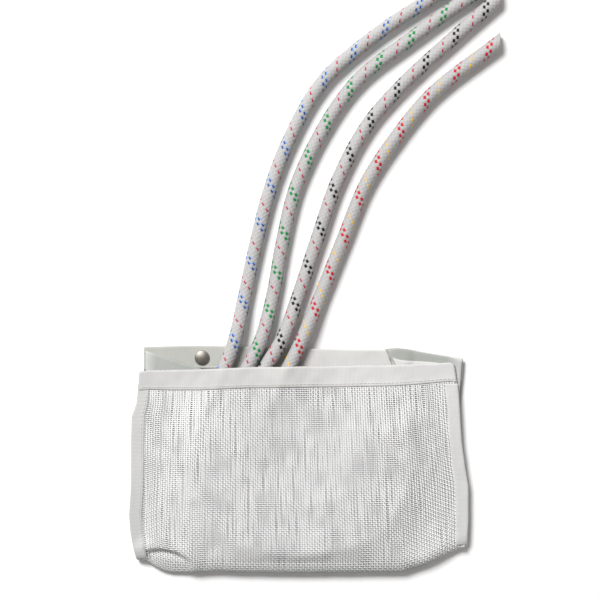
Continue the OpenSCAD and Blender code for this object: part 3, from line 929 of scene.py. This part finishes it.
# %% [markdown]
# ## The rolled seam under the bottom
# Front and back meet under the bag, where their raw edges are rolled together in a strip of the coated
# cloth and sewn. It is a grid rolled into a flat tube.
# %% Roll the bottom seam
def seam_place(a, b):
    angle = -a * TURN
    x = -154 + 308 * b
    y = np.interp(x, *BOTTOM.T) + 7.4 + 6.0 * np.cos(angle) + 0.3 * waves(x, 0 * x, 40, 9)
    z = 2.15 + 1.85 * np.sign(np.sin(angle)) * abs(np.sin(angle)) ** 0.55
    return np.stack([x, y, z], axis=-1)


seam = laid("bottom_seam_roll", 20, 160, seam_place, seam_finish, weld=True)
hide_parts("bottom_seam")
print("seam:", len(seam.data.polygons), "faces")

# %% [markdown]
# ## The gussets
# A strip of coated cloth closes each side. Shut, it lies folded inwards like a paper bag's, so two of its
# lines show at the mouth: one from the back's corner down to the fold, and one back to the mouth's corner. The
# left one lies as a long triangle on the back. The right one is spread along the back's top edge and
# covers the snap. Each is one grid: across the fold in one direction, down the side in the other. It rises
# steadily from the back to the front.
# %% Fold the gussets
LEFT_MOUTH = {"back": 109.0, "tip": 90.8, "front": 86.5}
FOOT = -88


def leaves(a):
    """How far across the lower leaf, which is sewn to the back, and the upper one a point is."""
    return np.clip(a / 0.5, 0, 1), np.clip((a - 0.5) / 0.5, 0, 1)


def gusset_height(a, x, y):
    lower, upper = leaves(a)
    ripple = 0.05 * waves(x, y, 30, 15) * np.sin(a * math.pi)
    return np.where(a <= 0.5, 6.55 + 0.75 * lower, 7.6 + 1.2 * upper) + ripple


def left_gusset(a, b):
    """From the back's edge (a = 0) in to the fold (a = 0.5) and out to the front's edge (a = 1)."""
    down = 1 - b
    y_back, y_fold, y_front = (top + (FOOT - top) * down for top in LEFT_MOUTH.values())
    x_fold = -146 + 48 * np.clip(1 - down * 1.6, 0, 1) ** 1.2
    lower, upper = leaves(a)
    x_front = left_at(y_front) + 4.0
    x = np.where(a <= 0.5, -154.5 + (x_fold + 154.5) * lower, x_fold + (x_front - x_fold) * upper)
    y = np.where(a <= 0.5, y_back + (y_fold - y_back) * lower, y_fold + (y_front - y_fold) * upper)
    return np.stack([x, y, gusset_height(a, x, y)], axis=-1)


def right_gusset(a, b):
    """The same, spread along the back's top edge, with a hump where it lies over the snap."""
    down = 1 - b
    lower, upper = leaves(a)
    x_fold = 146 - 61 * np.clip(1 - down * 1.6, 0, 1) ** 1.2
    y_front = 94.5 + (FOOT - 94.5) * down
    x_back = np.interp(100 - 188 * down, *BACK_RIGHT.T) - 1.0
    x_front = right_at(y_front) - 2.5
    x = np.where(a <= 0.5, x_back + (x_fold - x_back) * lower, x_fold + (x_front - x_fold) * upper)
    under = back_top(x) + 1.3 - 2.4 * np.clip((x - 150) / 12, 0, 1)
    lip = 98.9 + 11.4 * np.exp(-np.clip(x - 85, 0, None) / 7)
    top = np.where(a <= 0.5, under, lip * (1 - upper**4) + 94.5 * upper**4)
    y = top + (FOOT - top) * down
    z = gusset_height(a, x, y) + 2.2 * np.clip((17 - np.hypot(x - 98, y - 102)) / 7, 0, 1)
    return np.stack([x, y, z], axis=-1)


gussets = {}
for word, place in (("left", left_gusset), ("right", right_gusset)):
    gussets[word] = laid("gusset_" + word + "_cloth", 60, 90, place, gusset_painted_shade_finish, thickness=0.45)
    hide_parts("gusset_" + word)
print("gussets folded")

# %% [markdown]
# ## Stitches
# Rows of lock stitch hold the tapes. Each stitch is a short thread that dives into the cloth at both ends,
# so each is a small curve of its own with a round bevel, all of one row in one curve object.
# %% Define a row of stitches
STITCH, STITCH_STEP, THREAD = 2.8, 4.0, 0.32


def stitch_row(name, node, middles, body, high=0.28):
    """A row of stitches with their middles on these points, each arching that high over its ends."""
    ways = np.gradient(middles, axis=0)
    ways /= np.linalg.norm(ways, axis=1)[:, None]
    data = bpy.data.curves.new(name, "CURVE")
    data.dimensions, data.bevel_depth, data.bevel_resolution = "3D", THREAD * MM, 1
    data.use_fill_caps = True
    for middle, way in zip(middles, ways):
        spline = data.splines.new("POLY")
        spline.points.add(4)
        for point, t in zip(spline.points, (-1, -0.6, 0, 0.6, 1)):
            place = middle + way * (t * STITCH / 2) + np.array([0, 0, high * (1 - t * t) - 0.15])
            point.co = (*(place * MM), 1)
    row = bpy.data.objects.new(name, data)
    bpy.context.scene.collection.objects.link(row)
    data.materials.append(thread_finish)
    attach(row, body)
    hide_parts(node)
    print(name, len(middles), "stitches")


# %% [markdown]
# ## Where the rows run
# Each row runs a few millimetres in from the edge of what it holds. Its points come from the same functions
# as the cloth under it, so a row can't leave its tape. Seven rows stand for all the sewing.
# %% Sew the rows
u = np.linspace(0.012, 0.988, 79)
stitch_row("hem_stitches", "front_hem_stitch", front_point(u, 17.3 / DOWN + 0 * u) + [0, 0, 0.98], "front")
for word, side, y_low in (("left", -1, -88.0), ("right", 1, -78.0)):
    y = np.arange(y_low, 68, STITCH_STEP)
    inward = 8.6 / (right_at(y) - left_at(y))
    u = inward if side < 0 else 1 - inward
    row = front_point(u, share_at(u, y)) + [0, 0, 0.92]
    stitch_row("band_stitches_" + word, "band_stitch_" + word, row, "front")
x = np.arange(-152, 157, STITCH_STEP)
row = np.stack([x, back_top(x) - 20.0, np.full_like(x, 6.25)], axis=-1)
stitch_row("back_hem_stitches", "back_hem_stitch", row, "bag")
row = np.stack([x, np.interp(x, *BOTTOM.T) + 15.5, np.full_like(x, 4.15)], axis=-1)
stitch_row("bottom_stitches", "bottom_stitch", row, "bag", high=-0.1)
for word, side in (("left", -1), ("right", 1)):
    y = np.arange(-88, 100 if side > 0 else 106, STITCH_STEP)
    x = np.where(side < 0, -152.5, np.interp(y, *BACK_RIGHT.T) - 4.5)
    row = np.stack([x, y, np.full_like(y, 4.2)], axis=-1)
    stitch_row("gusset_stitches_" + word, "gusset_stitch_" + word, row, "bag", high=-0.1)

# %% [markdown]
# ## The metal of the snaps
# The snaps are pressed from brass and nickelled. The caps are brushed by use, and their colour is a dark warm
# grey that is a painted reflection of dark surroundings; the sockets behind are brighter, and the ring spring
# is drawn wire. Their shape comes from the CAD, so they only get a finish.
# %% Give the snaps their metal
def nickel(name, first, second, rough, scratch):
    metal = Finish(name, Metallic=1.0)
    cloud = metal.noise(4.0, 4.0)
    hair = metal.noise(0.5, 2.0, stretch=(0.15, 1, 1))
    metal.set(Base_Color=metal.blend(cloud, first, second), Roughness=hair * scratch + cloud * 0.1 + rough)
    metal.bump(hair, 0.02, 0.5)
    return metal.material


finishes = {
    # Painted reflection: the cap's base colour is dark, so that it looks like nickel reflecting dark
    # surroundings.
    "snap_cap": nickel("nickel_cap_painted_reflection", (0.19, 0.175, 0.155), (0.31, 0.29, 0.265), 0.34, 0.2),
    "snap_socket": nickel("nickel_socket", (0.48, 0.45, 0.41), (0.62, 0.59, 0.55), 0.2, 0.15),
    "snap_spring": nickel("spring_wire", (0.55, 0.53, 0.50), (0.68, 0.66, 0.63), 0.15, 0.1),
}
for node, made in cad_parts.items():
    for start, finish in finishes.items():
        if node.startswith(start):
            made.data.materials.clear()
            made.data.materials.append(finish)
print("metal given to", [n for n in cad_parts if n.startswith("snap")])

# %% [markdown]
# ## What moves with what
# The back, the ropes and the snaps stay with the bag. The front swings about the bottom fold when the mouth is
# opened.
# %% Attach the cloth
for piece in (warps, wefts, bands["left"], bands["right"]):
    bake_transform(piece)
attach(hem, "front")
for piece in (back, back_hem, seam):
    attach(piece, "bag")
for piece in gussets.values():
    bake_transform(piece)

# %% [markdown]
# ## Floor and light
# A plain white floor catches soft shadows. One large lamp stands high behind the bag and to its left, so
# shadows fall to the front and the right, and a bright sky fills them. A lamp's size is part of the look: a
# wider one softens the shadows' edges.
# %% Make the floor and the lights
bm = bmesh.new()
bmesh.ops.create_grid(bm, x_segments=1, y_segments=1, size=6.0)
bmesh.ops.translate(bm, vec=(0, 0, -0.2 * MM), verts=bm.verts)
mesh = bpy.data.meshes.new("floor")
bm.to_mesh(mesh)
bm.free()
ground = as_object("floor", mesh, Finish("pale_floor", Base_Color=(0.97, 0.97, 0.97, 1), Roughness=0.9,
                                         Specular_IOR_Level=0.1).material)


def lamp(name, azimuth, elevation, distance, size, watts):
    light = bpy.data.objects.new(name, bpy.data.lights.new(name, "AREA"))
    light.data.shape, light.data.size, light.data.energy = "DISK", size, watts
    a, e = math.radians(azimuth), math.radians(elevation)
    light.location = Vector((math.cos(a) * math.cos(e), math.sin(a) * math.cos(e), math.sin(e))) * distance
    light.rotation_mode = "QUATERNION"
    light.rotation_quaternion = light.location.to_track_quat("Z", "Y")
    bpy.context.scene.collection.objects.link(light)


lamp("key", 121, 48, 4.0, 1.8, 196)
sky = bpy.data.worlds.new("sky")
sky.use_nodes = True
sky.node_tree.nodes["Background"].inputs["Color"].default_value = (1, 0.975, 0.96, 1)
sky.node_tree.nodes["Background"].inputs["Strength"].default_value = 0.28
bpy.context.scene.world = sky
bpy.context.scene.view_settings.view_transform = "Standard"
print("floor, one lamp and the sky are in place")
